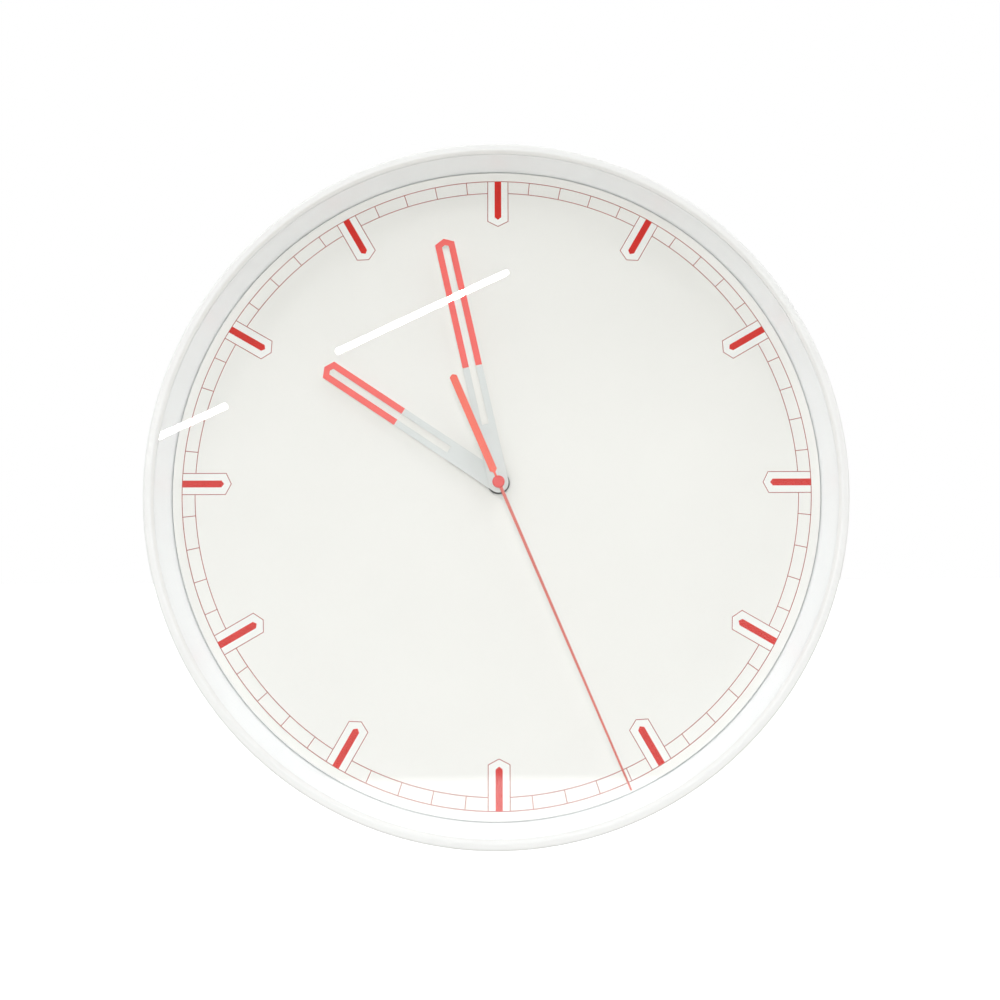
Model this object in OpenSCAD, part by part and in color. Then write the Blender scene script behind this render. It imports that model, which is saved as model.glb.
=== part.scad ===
// Quartz wall clock: round case, flat glass, recessed dial and three centre hands.
// Every sub-part is drawn lying on its back with the wall as the plane z = 0, and
// stand() tips it up, so that +Z is up and the dial faces -Y. The origin is the
// point where the hands' axis meets the wall.

/* [Case] */
// Outside diameter of the case
case_d = 300; // [298:1:304]
// Depth of the clock from the wall to the front of the lip
case_depth = 42; // [42:0.5:44]
// Thickness of the case's side wall
case_wall = 1.8; // [1.6:0.1:2]
// Inside diameter of the front lip
lip_d = 291.4; // [290.6:0.2:291.6]
// Thickness of the front lip
lip_t = 2; // [1.8:0.1:2.4]
// Radius on the outer front edge
edge_r = 1.2; // [0.8:0.1:1.4]

/* [Glass and dial] */
// Thickness of the glass
glass_t = 2; // [1.8:0.1:2.2]
// Distance from the front of the lip back to the dial's face
dial_depth = 18; // [17.5:0.5:18]
// Diameter of the dial plate
dial_d = 284.4; // [282:0.2:284.6]
// Thickness of the dial plate
dial_t = 1; // [0.8:0.1:1.2]
// Width of the shadow gap round the dial
dial_gap = 1.2; // [1:0.1:1.4]

/* [Hands] */
// Width of the hour and minute hands
hand_w = 8.8; // [8:0.1:9.2]
// Length of the hour hand from its axis to its point
hour_len = 92.8; // [85:0.2:100]
// Length of the minute hand from its axis to its point
minute_len = 112.3; // [105:0.1:125]
// Length of the second hand from its axis to its end
second_len = 139.9; // [130:0.1:140]
// Length of the second hand's counterweight
tail_len = 51.4; // [40:0.2:60]
// Angle of the hour hand, clockwise from twelve
hour_angle = 303.74; // [0:0.01:360]
// Angle of the minute hand, clockwise from twelve
minute_angle = 347.4; // [0:0.01:360]
// Angle of the second hand, clockwise from twelve
second_angle = 156.84; // [0:0.01:360]

/* [Movement] */
// Width and height of the square movement
movement_w = 56; // [56:0.5:58]
// Diameter of the stem that carries the hands through the dial
stem_d = 9.7; // [9.6:0.1:9.8]

/* [Hidden] */

$fn = 96;

// Case and glass stack, as heights above the wall
case_r = case_d / 2;
case_in_r = case_r - case_wall;
lip_r = lip_d / 2;
glass_top = case_depth - lip_t;
glass_z = glass_top - glass_t;
gasket_t = 0.4;
gasket_z = glass_z - gasket_t;
dial_z = case_depth - dial_depth;
dial_back = dial_z - dial_t;
foam_t = 2;
floor_top = dial_back - foam_t;
floor_t = 2;
floor_z = floor_top - floor_t;
dial_r = dial_d / 2;
fit_gap = 0.3;

// Spacer ring
ring_t = 1.6;
ring_rim_r = case_in_r - fit_gap;
ring_top_r = lip_r - 0.2;
ring_dial_r = dial_r + dial_gap;
ring_slope = (ring_top_r - ring_dial_r) / (gasket_z - dial_z);
ring_base_r = ring_dial_r - ring_slope * (dial_z - floor_top);
ring_flange = 1.8;
rib_count = 24;

// Carrier
skirt_r = case_in_r - fit_gap;
skirt_t = 2.2;
skirt_h = 12;
screw_r = 1.25;
screw_z = floor_top - 8;
screw_head_r = 2.4;
screw_angles = [45, 135, 225, 315];
hanger_y = 116;
hanger_post_x = 13;
hanger_t = 1.2;
hanger_z = 1.2;
key_head_r = 4.4;
key_slot_r = 2.2;
key_drop = 8;

// Movement box
box_t = 1.2;
box_bottom = -35;
box_top = box_bottom + movement_w;
box_x = movement_w / 2;
box_front = floor_z;
box_rear = box_front - 16;
box_split = box_rear + 7;
inner_front = box_front - box_t;
inner_rear = box_rear + box_t;
wall_y = -18;
stem_r = stem_d / 2;
stem_top = dial_z + 1.6;
arbor_r = 0.4;
play = 0.07;

// Heights of the hands
hour_z = dial_z + 2.7;
minute_z = dial_z + 5.5;
second_z = dial_z + 8.2;
hand_t = 0.5;
second_t = 0.4;

// Shafts, from the centre outwards
second_r = 0.5;
minute_r = 1.4;
hour_r = 3.15;

// Tooth counts of the train
rotor_n = 8;
middle_n = 40;
middle_pin_n = 8;
second_n = 48;
second_pin_n = 8;
third_n = 60;
third_pin_n = 8;
centre_n = 64;
cannon_n = 12;
motion_n = 36;
motion_pin_n = 10;
hour_n = 40;
set_n = 12;

// Gear modules: each pair shares one
rotor_m = 0.22;
second_m = 0.31;
third_m = 0.252;
centre_m = 0.238;
motion_m = 0.325;
hour_m = 0.312;

// Directions from one axis to the next, anticlockwise from +X as seen from the front
third_dir = 60;
middle_dir = 130;
rotor_dir = 150;
motion_dir = 200;
set_dir = 300;

function polar(r, a) = [r * cos(a), r * sin(a)];
function centres(m, a, b) = m * (a + b) / 2;

third_at = polar(centres(third_m, second_pin_n, third_n), third_dir);
middle_at = polar(centres(second_m, second_n, middle_pin_n), middle_dir);
rotor_at = middle_at + polar(centres(rotor_m, middle_n, rotor_n), rotor_dir);
motion_at = polar(centres(motion_m, cannon_n, motion_n), motion_dir);
set_at = motion_at + polar(centres(motion_m, motion_n, set_n), set_dir);

// Heights of the wheels
rotor_pin_z = box_rear + 1.8;
middle_z = box_rear + 1.9;
middle_pin_z = box_rear + 2.9;
second_wheel_z = box_rear + 3.4;
second_pin_z = box_rear + 5.2;
third_z = box_rear + 5.6;
third_pin_z = box_rear + 7.6;
centre_z = box_rear + 8;
cannon_z = box_rear + 9.6;
motion_z = box_rear + 10;
hour_wheel_z = box_rear + 12.4;
wheel_t = 0.9;

// Motor
magnet_r = 2.6;
magnet_z = box_rear + 5;
stator_z = box_rear + 6;
stator_t = 0.8;
stator_hole_r = 3.2;
stator_ring_r = 4.4;
coil_x = -20.5;
coil_low = -6.5;
coil_high = 12;
core_low = -10.8;
core_high = 15.4;
coil_r = 4.2;
coil_z = stator_z + stator_t * 1.5;

// Circuit board
board_z = box_rear + 2.5;
board_t = 0.8;
board_right = 25.6;
board_low = -16.3;

// Battery, size AA, lying across the bottom of the movement
cell_r = 7.25;
cell_len = 50.5;
cell_y = -26;
cell_z = box_rear + 7.3;
contact_t = 0.5;
contact_x = board_right;

// Meshing phase of a gear of n_b teeth that lies in direction dir from one of n_a teeth
function mesh_phase(dir, n_a, n_b, phase_a = 0) =
    dir + 180 - 360 / n_b * (0.5 - (dir - phase_a) * n_a / 360);

// Tips a part that lies on its back up against the wall
module stand() {
    rotate([90, 0, 0]) children();
}

// Ring between two radii
module ring(outer, inner, h) {
    linear_extrude(h) difference() {
        circle(outer);
        circle(inner);
    }
}

// Rectangle with round corners, centred
module round_rect(w, h, r) {
    square([w - 2 * r, h], center = true);
    square([w, h - 2 * r], center = true);
    for (x = [-1, 1], y = [-1, 1])
        translate([x * (w / 2 - r), y * (h / 2 - r)]) circle(r);
}

// One tooth's outline as radius and half-angle pairs, root to tip
function tooth(n, m) = let (a = 90 / n * 0.84, r = n * m / 2) [
    [r - 1.05 * m, a * 1.05],
    [r, a],
    [r + 0.45 * m, a * 0.7],
    [r + 0.75 * m, a * 0.3]
];

function gear_outline(n, m) = let (half = tooth(n, m)) [
    for (i = [0:n - 1])
        for (k = [0:7])
            let (
                side = k < 4 ? -1 : 1,
                p = half[k < 4 ? k : 7 - k],
                a = 360 * i / n + side * p[1]
            ) [p[0] * cos(a), p[0] * sin(a)]
];

// Toothed disc with a round hole
module gear(n, m, h, hole_r, phase = 0) {
    rotate([0, 0, phase]) linear_extrude(h) difference() {
        polygon(gear_outline(n, m));
        circle(hole_r);
    }
}

// Wheel with a thin web, a hub and round lightening holes
module web_wheel(n, m, hub_r, hole_r, phase, holes = 5) {
    rim_r = n * m / 2 - 2.1 * m;
    pocket_r = (rim_r - hub_r) * 0.34;
    difference() {
        gear(n, m, wheel_t, hole_r, phase);
        for (i = [0:holes - 1])
            rotate([0, 0, 360 * i / holes])
                translate([(rim_r + hub_r) / 2, 0, -1]) cylinder(r = pocket_r, h = wheel_t + 2);
    }
}

// Straight outline with square root and pencil point, between two distances from the axis
module pencil(from, to, w, point_h) {
    polygon([
        [-w / 2, from], [-w / 2, to - point_h], [0, to],
        [w / 2, to - point_h], [w / 2, from]
    ]);
}

// Hour or minute hand: pencil-pointed bar with a long window and a round root
module slotted_hand(len, z, bore) {
    point_ratio = 0.25;
    window_from = hand_w * 2.97;
    window_w = hand_w * 0.35;
    translate([0, 0, z]) difference() {
        union() {
            cylinder(r = hand_w / 2, h = hand_t);
            linear_extrude(hand_t) pencil(0, len, hand_w, hand_w * point_ratio);
        }
        translate([0, 0, -1]) linear_extrude(hand_t + 2)
            pencil(window_from, len - hand_w / 3, window_w, window_w * point_ratio);
        translate([0, 0, -1]) cylinder(r = bore, h = hand_t + 2);
    }
}

// Countersunk screw along +Z with its head's face at z = 0 and its point below
module countersunk_screw(r, head_r, len) {
    head_h = head_r - r;
    difference() {
        union() {
            translate([0, 0, -head_h]) cylinder(r1 = r, r2 = head_r, h = head_h);
            translate([0, 0, -len + 1.5]) cylinder(r = r, h = len - 1.5 - head_h + 0.01);
            translate([0, 0, -len]) cylinder(r1 = 0.2, r2 = r, h = 1.51);
        }
        for (a = [0, 90])
            rotate([0, 0, a]) translate([-head_r * 0.55, -0.3, -0.7])
                cube([head_r * 1.1, 0.6, 1]);
    }
}

// Case: side wall with a turned-in lip that holds the glass
module case() {
    color("whitesmoke") stand() difference() {
        rotate_extrude($fn = 180) difference() {
            union() {
                translate([case_in_r, 0]) square([case_wall, glass_top]);
                translate([lip_r, glass_top]) difference() {
                    union() {
                        square([case_r - lip_r - edge_r, lip_t]);
                        square([case_r - lip_r, lip_t - edge_r]);
                        translate([case_r - lip_r - edge_r, lip_t - edge_r]) circle(edge_r);
                    }
                    difference() {
                        translate([-0.01, lip_t - 0.4]) square([0.41, 0.41]);
                        translate([0.4, lip_t - 0.4]) circle(0.4);
                    }
                }
            }
            difference() {
                translate([case_r - 0.6, -0.01]) square([0.61, 0.61]);
                translate([case_r - 0.6, 0.6]) circle(0.6);
            }
        }
        for (a = screw_angles)
            rotate([0, 0, a]) translate([case_r, 0, screw_z]) rotate([0, 90, 0]) {
                translate([0, 0, -case_wall - 1]) cylinder(r = screw_r + 0.1, h = case_wall + 2);
                translate([0, 0, screw_r - screw_head_r - 0.05])
                    cylinder(r1 = screw_r + 0.1, r2 = screw_head_r + 0.1, h = screw_head_r - screw_r + 0.06);
                cylinder(r = screw_head_r + 0.1, h = 1);
            }
    }
}

// Flat mineral glass, clamped behind the lip
module glass() {
    color([0.85, 0.93, 0.9, 0.3]) stand()
        translate([0, 0, glass_z]) cylinder(r = case_in_r - fit_gap, h = glass_t, $fn = 180);
}

// Soft gasket between the glass and the spacer ring
module glass_gasket() {
    color("gainsboro") stand()
        translate([0, 0, gasket_z]) ring(ring_rim_r - 0.2, ring_top_r + 0.2, gasket_t);
}

// Spacer ring: sloping white wall between the glass and the dial, ribbed at its back
module spacer_ring() {
    color("white") stand() {
        rotate_extrude($fn = 180) {
            polygon([
                [ring_base_r, floor_top], [ring_top_r, gasket_z],
                [ring_rim_r, gasket_z], [ring_rim_r, gasket_z - ring_flange],
                [ring_top_r - ring_slope * ring_flange + ring_t, gasket_z - ring_flange],
                [ring_base_r + ring_slope * ring_t + ring_t, floor_top + ring_t],
                [ring_rim_r, floor_top + ring_t], [ring_rim_r, floor_top]
            ]);
        }
        for (i = [0:rib_count - 1])
            rotate([0, 0, 360 * (i + 0.5) / rib_count])
                translate([ring_top_r + ring_t - 0.5, -0.6, floor_top + ring_t - 0.01])
                    cube([ring_rim_r - ring_top_r - ring_t + 0.3, 1.2,
                          gasket_z - floor_top - ring_t - ring_flange + 0.02]);
    }
}

// Dial: painted sheet with a hole for the stem
module dial_plate() {
    color("ivory") stand() translate([0, 0, dial_back]) ring(dial_r, stem_r + 0.1, dial_t);
}

// Foam rings that bond the dial to the carrier
module dial_foam() {
    color("lightgrey") stand() translate([0, 0, floor_top]) {
        ring(136, 126, foam_t);
        ring(40, 30, foam_t);
    }
}

// Hook that snaps over the movement's back edge; it stands on y = 0 and reaches towards -y
module carrier_clip() {
    clip_w = 10;
    translate([-clip_w / 2, 0.2, box_rear - 1.4]) cube([clip_w, 1.6, floor_z - box_rear + 1.41]);
    translate([-clip_w / 2, -1.4, box_rear - 1.4]) cube([clip_w, 2, 1.2]);
}

// Carrier: back plate that holds the dial, the movement and the hanger
module carrier() {
    rib_h = 3.5;
    rib_t = 1.6;
    pocket_h = 6;
    pocket_y = (box_top + box_bottom) / 2;
    color("whitesmoke") stand() difference() {
        union() {
            translate([0, 0, floor_z]) cylinder(r = skirt_r, h = floor_t, $fn = 180);
            translate([0, 0, floor_top - skirt_h]) ring(skirt_r, skirt_r - skirt_t, skirt_h);
            translate([0, 0, floor_z - rib_h]) ring(92, 92 - rib_t, rib_h + 0.01);
            for (i = [0:15])
                rotate([0, 0, 360 * (i + 0.5) / 16])
                    translate([46, -rib_t / 2, floor_z - rib_h])
                        cube([skirt_r - skirt_t - 45.9, rib_t, rib_h + 0.01]);
            translate([0, pocket_y, floor_z - pocket_h]) linear_extrude(pocket_h + 0.01) difference() {
                round_rect(movement_w + 5.2, movement_w + 5.2, 3);
                square(movement_w + 2, center = true);
            }
            for (x = [-14, 14]) {
                translate([x, box_top, 0]) carrier_clip();
                translate([x, box_bottom, 0]) rotate([0, 0, 180]) carrier_clip();
            }
            for (x = [-hanger_post_x, hanger_post_x])
                translate([x, hanger_y + 2, hanger_z + hanger_t])
                    cylinder(r = 4, h = floor_z - hanger_z - hanger_t + 0.01);
            for (a = screw_angles)
                rotate([0, 0, a]) translate([skirt_r - 11, -3.5, screw_z - 3.5])
                    cube([11 - 0.5, 7, floor_top - screw_z + 2.5]);
        }
        translate([0, 0, floor_z - 1]) cylinder(r = stem_r + 0.1, h = floor_t + 2);
        for (x = [-hanger_post_x, hanger_post_x])
            translate([x, hanger_y + 2, -1]) cylinder(r = 1.2, h = 14);
        for (a = screw_angles)
            rotate([0, 0, a]) translate([skirt_r - 9, 0, screw_z]) rotate([0, 90, 0])
                cylinder(r = screw_r, h = 12);
        // Nail room behind the hanger
        translate([0, hanger_y, floor_z - rib_h - 1]) cylinder(r = 7.5, h = rib_h + 1);
    }
}

// Four screws driven through the case's side into the carrier
module case_screws() {
    color("silver") stand()
        for (a = screw_angles)
            rotate([0, 0, a]) translate([case_r, 0, screw_z]) rotate([0, 90, 0])
                translate([0, 0, -0.05]) countersunk_screw(screw_r - 0.02, screw_head_r, 10);
}

// Steel plate with a keyhole for the wall screw
module hanger_plate() {
    color("silver") stand() translate([0, hanger_y, hanger_z]) linear_extrude(hanger_t) difference() {
        translate([0, 2]) round_rect(38, 24, 4);
        circle(key_head_r);
        translate([-key_slot_r, 0]) square([2 * key_slot_r, key_drop]);
        translate([0, key_drop]) circle(key_slot_r);
        for (x = [-hanger_post_x, hanger_post_x]) translate([x, 2]) circle(1.6);
    }
}

// Two screws that hold the hanger to its posts
module hanger_screws() {
    color("silver") stand()
        for (x = [-hanger_post_x, hanger_post_x])
            translate([x, hanger_y + 2, hanger_z]) rotate([180, 0, 0]) difference() {
                union() {
                    translate([0, 0, -9]) cylinder(r = 1.18, h = 9.01);
                    cylinder(r = 2.4, h = 0.5);
                    translate([0, 0, 0.5]) cylinder(r1 = 2.4, r2 = 1.6, h = 0.5);
                }
                for (a = [0, 90])
                    rotate([0, 0, a]) translate([-1.3, -0.3, 0.4]) cube([2.6, 0.6, 1]);
            }
}

// Outer walls and partition of one half of the movement's box
module box_half(z, h) {
    translate([0, (box_top + box_bottom) / 2, z]) linear_extrude(h) difference() {
        round_rect(movement_w, movement_w, 2);
        square(movement_w - 2 * box_t, center = true);
    }
    difference() {
        translate([-box_x + box_t - 0.01, wall_y, z]) cube([movement_w - 2 * box_t + 0.02, box_t, h]);
        for (side = [-1, 1])
            translate([side * (box_x - box_t) - 1.7, wall_y - 1, z - 1]) cube([3.4, box_t + 2, h + 2]);
    }
}

// Boss with a blind hole for an arbor's end, rising from height z
module bearing(at, z, h, r = arbor_r) {
    translate([at[0], at[1], z]) ring(r + 1, r + play, h);
}

// Front half of the movement's box, with the stem that passes through the dial
module movement_front() {
    color([0.12, 0.12, 0.13]) stand() {
        difference() {
            union() {
                box_half(box_split, inner_front - box_split + 0.01);
                translate([0, (box_top + box_bottom) / 2, inner_front])
                    linear_extrude(box_t) round_rect(movement_w, movement_w, 2);
                translate([0, 0, inner_front]) cylinder(r = stem_r, h = stem_top - inner_front);
                translate([motion_at[0], motion_at[1], motion_z - 0.6])
                    cylinder(r = 0.8, h = inner_front - motion_z + 0.61);
            }
            translate([0, 0, inner_front - 1]) cylinder(r = hour_r + play, h = stem_top);
            for (at = [third_at, middle_at])
                translate([at[0], at[1], inner_front - 0.01]) cylinder(r = arbor_r + play, h = 0.61);
        }
        bearing(third_at, inner_front - 0.6, 0.61);
        bearing(middle_at, inner_front - 0.6, 0.61);
        bearing(rotor_at, magnet_z + 4, inner_front - magnet_z - 3.99);
    }
}

// Rear half of the movement's box, open over the battery
module movement_rear() {
    color([0.14, 0.14, 0.15]) stand() {
        difference() {
            union() {
                box_half(inner_rear - 0.01, box_split - inner_rear + 0.01);
                translate([0, (box_top + box_bottom) / 2, box_rear])
                    linear_extrude(box_t) round_rect(movement_w, movement_w, 2);
            }
            translate([-box_x + box_t, box_bottom + box_t, box_rear - 1])
                cube([movement_w - 2 * box_t, wall_y - box_bottom - box_t, box_t + 2]);
            translate([set_at[0], set_at[1], box_rear - 1]) cylinder(r = 1.2 + play, h = box_t + 2);
            for (at = [[0, 0], third_at, middle_at, rotor_at])
                translate([at[0], at[1], inner_rear - 0.5])
                    cylinder(r = (at == [0, 0] ? second_r : arbor_r) + play, h = 1);
            // Finger notch beside the battery
            translate([0, box_bottom, box_rear - 1]) cylinder(r = 9, h = 6);
        }
        bearing([0, 0], inner_rear - 0.01, 0.41, second_r);
        for (at = [third_at, middle_at, rotor_at]) bearing(at, inner_rear - 0.01, 0.41);
        for (at = [[17, 14], [17, -8], [-23, -13.8]])
            translate([at[0], at[1], inner_rear - 0.01]) cylinder(r = 1.4, h = board_z - inner_rear + 0.01);
        for (at = [[-15.6, 13.8], [-15.2, -9.2]])
            translate([at[0], at[1], inner_rear - 0.01]) cylinder(r = 1.2, h = stator_z - inner_rear + 0.01);
        // Tongues that snap over the front half's sides
        for (side = [-1, 1]) {
            translate([side * (box_x + 0.4), 0, box_rear + 6]) cube([0.8, 8, 10], center = true);
            translate([side * (box_x + 0.1), 0, box_rear + 4]) cube([1.4, 8, 6], center = true);
        }
    }
}

// Stator: soft iron sheet that closes the magnetic path round the rotor
module stator() {
    arm_w = 3.4;
    color("lightslategrey") stand() translate([0, 0, stator_z]) linear_extrude(stator_t) difference() {
        union() {
            translate(rotor_at) circle(stator_ring_r);
            translate([coil_x - 1.7, core_high - arm_w]) square([rotor_at[0] - coil_x + 3.5, arm_w]);
            translate([rotor_at[0] - 2.6, core_low]) square([arm_w, rotor_at[1] - core_low]);
            translate([coil_x - 1.7, core_low]) square([rotor_at[0] - coil_x, arm_w]);
        }
        translate(rotor_at) circle(stator_hole_r);
        for (a = [35, 215])
            translate(rotor_at + polar(stator_hole_r, a)) circle(0.35);
    }
}

// Iron core through the coil, lying on the stator's two arms
module coil_core() {
    color("slategrey") stand()
        translate([coil_x - 1.5, core_low, stator_z + stator_t]) cube([3, core_high - core_low, stator_t]);
}

// Bobbin with an end flange at each end
module coil_bobbin() {
    flange = 0.9;
    color("ivory") stand() translate([coil_x, coil_low, coil_z]) rotate([-90, 0, 0]) difference() {
        union() {
            cylinder(r = 2.2, h = coil_high - coil_low);
            cylinder(r = coil_r, h = flange);
            translate([0, 0, coil_high - coil_low - flange]) cylinder(r = coil_r, h = flange);
        }
        translate([-1.55, -0.45, -1]) cube([3.1, 0.9, coil_high - coil_low + 2]);
    }
}

// Copper winding
module coil_winding() {
    color("peru") stand() translate([coil_x, coil_low + 0.9, coil_z]) rotate([-90, 0, 0])
        ring(coil_r - 0.5, 2.2, coil_high - coil_low - 1.8);
}

// L-shaped circuit board
module circuit_board() {
    color("darkgreen") stand() translate([0, 0, board_z]) linear_extrude(board_t) {
        translate([13.5, board_low]) square([board_right - 13.5, 34]);
        translate([-25, board_low]) square([38.6, 5]);
    }
}

// Timing chip under a drop of black resin
module timing_chip() {
    dome_r = 6;
    color([0.05, 0.05, 0.05]) stand() translate([19.5, -4, board_z + board_t])
        intersection() {
            translate([0, 0, 1.3 - dome_r]) sphere(dome_r);
            cylinder(r = 5, h = 2);
        }
}

// Quartz crystal in its metal can
module crystal_can() {
    can_r = 1.5;
    color("silver") stand() translate([19.5, 3.5, board_z + board_t + can_r]) rotate([-90, 0, 0]) {
        cylinder(r = can_r, h = 7.4);
        translate([0, 0, 7.39]) cylinder(r1 = can_r, r2 = can_r - 0.4, h = 0.6);
        for (x = [-0.5, 0.5]) translate([x, 0, -2]) cylinder(r = 0.2, h = 2.01);
    }
}

// Brass strip that carries one battery pole to the board; side is 1 or -1
module contact_strip(side) {
    low = cell_y - 5.5;
    x = side > 0 ? contact_x : -contact_x - contact_t;
    translate([x, low, cell_z - 3]) cube([contact_t, 11, 6]);
    translate([x, low, cell_z - 3]) cube([contact_t, board_low + 4 - low, 2.2]);
}

module contact_plus() {
    color("gold") stand() contact_strip(1);
}

// Negative contact, with a pressed dimple that the cell rests on
module contact_minus() {
    color("gold") stand() {
        contact_strip(-1);
        translate([-contact_x - 0.01, cell_y, cell_z]) rotate([0, 90, 0]) cylinder(r1 = 2.2, r2 = 1.2, h = 0.11);
    }
}

// Puts a shape that is turned about Z along the cell's own axis, +Z towards its cap
module on_cell() {
    translate([-cell_len / 2, cell_y, cell_z]) rotate([0, 90, 0]) children();
}

// Plastic sleeve shrunk round the steel can
module battery_sleeve() {
    color("darkorange") stand() on_cell() translate([0, 0, 0.6]) rotate_extrude() difference() {
        square([cell_r, 48.2]);
        difference() {
            translate([cell_r - 0.8, 47.4]) square([0.81, 0.81]);
            translate([cell_r - 0.8, 47.4]) circle(0.8);
        }
    }
}

// Positive cap
module battery_cap() {
    color("silver") stand() on_cell() translate([0, 0, 48.8]) {
        cylinder(r = 5.2, h = 0.4);
        cylinder(r = 2.75, h = cell_len - 48.8);
    }
}

// Negative base
module battery_base() {
    color("silver") stand() on_cell() cylinder(r = 6.6, h = 0.6);
}

// Second hand: narrow pointer, necked hub and broad counterweight
module second_hand() {
    root_w = 1.36;
    tip_w = 0.86;
    tail_w = 3.3;
    hub_r = 2.4;
    neck_w = 1;
    shoulder = 4.6;
    color("tomato") stand() rotate([0, 0, -second_angle]) translate([0, 0, second_z]) difference() {
        union() {
            cylinder(r = hub_r, h = second_t);
            linear_extrude(second_t) polygon([
                [-root_w / 2, 1], [-tip_w / 2, second_len], [tip_w / 2, second_len], [root_w / 2, 1],
                [neck_w / 2, -hub_r], [tail_w / 2, -shoulder], [tail_w / 2, 1 - tail_len],
                [0, -tail_len], [-tail_w / 2, 1 - tail_len], [-tail_w / 2, -shoulder],
                [-neck_w / 2, -hub_r]
            ]);
        }
        translate([0, 0, -1]) cylinder(r = second_r, h = second_t + 2);
    }
}

// Round cap pressed over the second hand's hub
module second_cap() {
    cap_r = 2.67;
    cap_h = 1.4;
    round = 0.5;
    color("crimson") stand() translate([0, 0, second_z + second_t]) rotate_extrude() {
        square([cap_r - round, cap_h]);
        square([cap_r, cap_h - round]);
        translate([cap_r - round, cap_h - round]) circle(round);
    }
}

// Brass bush under the second hand
module second_bush() {
    color("goldenrod") stand() translate([0, 0, second_z - 1.3]) ring(1.1, second_r, 1.3);
}

// Steel arbor that runs from the back of the movement to the second hand
module second_arbor() {
    color("silver") stand() translate([0, 0, inner_rear - 0.4])
        cylinder(r = second_r, h = second_z + second_t - inner_rear + 0.4);
}

// Second wheel, one revolution a minute, with its pinion
module second_wheel() {
    color("ivory") stand() {
        translate([0, 0, second_wheel_z]) web_wheel(second_n, second_m, 1.6, second_r, 0);
        translate([0, 0, second_wheel_z + wheel_t - 0.01])
            ring(0.75, second_r, second_pin_z - second_wheel_z - wheel_t + 0.02);
        translate([0, 0, second_pin_z]) gear(second_pin_n, third_m, 1.7, second_r, 0);
    }
}

module minute_hand() {
    color("salmon") stand() rotate([0, 0, -minute_angle]) slotted_hand(minute_len, minute_z, minute_r);
}

// Brass bush under the minute hand
module minute_bush() {
    color("goldenrod") stand() translate([0, 0, minute_z - 1.2]) ring(2.6, minute_r, 1.2);
}

// Minute tube with the cannon pinion cut on it
module minute_arbor() {
    low = centre_z - 0.8;
    color("ivory") stand() {
        translate([0, 0, low]) ring(minute_r, second_r + play, minute_z + hand_t + 0.4 - low);
        translate([0, 0, cannon_z])
            gear(cannon_n, motion_m, 2.6, second_r + play, mesh_phase(motion_dir + 180, motion_n, cannon_n));
    }
}

module hour_hand() {
    color("salmon") stand() rotate([0, 0, -hour_angle]) slotted_hand(hour_len, hour_z, hour_r);
}

// Collar under the hour hand
module hour_bush() {
    color("goldenrod") stand() translate([0, 0, hour_z - 0.7]) ring(4.2, hour_r, 0.7);
}

// Hour wheel moulded on its tube
module hour_wheel() {
    phase = mesh_phase(motion_dir + 180, motion_pin_n, hour_n);
    color("ivory") stand() {
        translate([0, 0, hour_wheel_z]) web_wheel(hour_n, hour_m, 3.3, minute_r + play, phase, 6);
        translate([0, 0, hour_wheel_z])
            ring(hour_r, minute_r + play, hour_z + hand_t + 0.3 - hour_wheel_z);
    }
}

// Centre wheel, free on the minute tube and driven through its clutch
module centre_wheel() {
    phase = mesh_phase(third_dir + 180, third_pin_n, centre_n);
    color("ivory") stand() translate([0, 0, centre_z])
        web_wheel(centre_n, centre_m, 2, minute_r + play, phase, 5);
}

// Three-leaf spring washer that presses the centre wheel against the cannon pinion
module clutch_spring() {
    color("goldenrod") stand() translate([0, 0, centre_z + wheel_t]) linear_extrude(0.25) difference() {
        union() {
            circle(2.2);
            for (a = [0, 120, 240])
                rotate([0, 0, a]) {
                    translate([0, -0.5]) square([4.4, 1]);
                    translate([4.4, 0]) circle(0.5);
                }
        }
        circle(minute_r + play);
    }
}

// Third wheel with its pinion
module third_wheel() {
    wheel_phase = mesh_phase(third_dir, second_pin_n, third_n);
    color("ivory") stand() translate([third_at[0], third_at[1], 0]) {
        translate([0, 0, third_z]) web_wheel(third_n, third_m, 1.6, arbor_r, wheel_phase);
        translate([0, 0, third_z + wheel_t - 0.01])
            ring(0.68, arbor_r, third_pin_z - third_z - wheel_t + 0.02);
        translate([0, 0, third_pin_z]) gear(third_pin_n, centre_m, 1.7, arbor_r, 0);
    }
}

module third_arbor() {
    color("silver") stand() translate([third_at[0], third_at[1], inner_rear - 0.4])
        cylinder(r = arbor_r, h = inner_front - inner_rear + 0.8);
}

// Middle wheel between the rotor and the second wheel
module middle_wheel() {
    pin_phase = mesh_phase(middle_dir, second_n, middle_pin_n);
    color("ivory") stand() translate([middle_at[0], middle_at[1], 0]) {
        translate([0, 0, middle_z]) web_wheel(middle_n, rotor_m, 1.3, arbor_r, 0, 4);
        translate([0, 0, middle_pin_z - 0.11]) gear(middle_pin_n, second_m, 1.9, arbor_r, pin_phase);
    }
}

module middle_arbor() {
    color("silver") stand() translate([middle_at[0], middle_at[1], inner_rear - 0.4])
        cylinder(r = arbor_r, h = inner_front - inner_rear + 0.8);
}

// Disc magnet of the stepping motor
module rotor_magnet() {
    color("dimgrey") stand() translate([rotor_at[0], rotor_at[1], magnet_z]) ring(magnet_r, 0.8, 2.6);
}

// Rotor's plastic spindle with its pinion
module rotor_pinion() {
    phase = mesh_phase(rotor_dir, middle_n, rotor_n);
    top = magnet_z + 5;
    color("ivory") stand() translate([rotor_at[0], rotor_at[1], 0]) {
        translate([0, 0, inner_rear - 0.4]) cylinder(r = arbor_r, h = top - inner_rear + 0.4);
        translate([0, 0, rotor_pin_z]) gear(rotor_n, rotor_m, 1.3, 0.2, phase);
        translate([0, 0, rotor_pin_z + 1.29]) cylinder(r = 0.8, h = magnet_z + 3 - rotor_pin_z - 1.29);
    }
}

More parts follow.
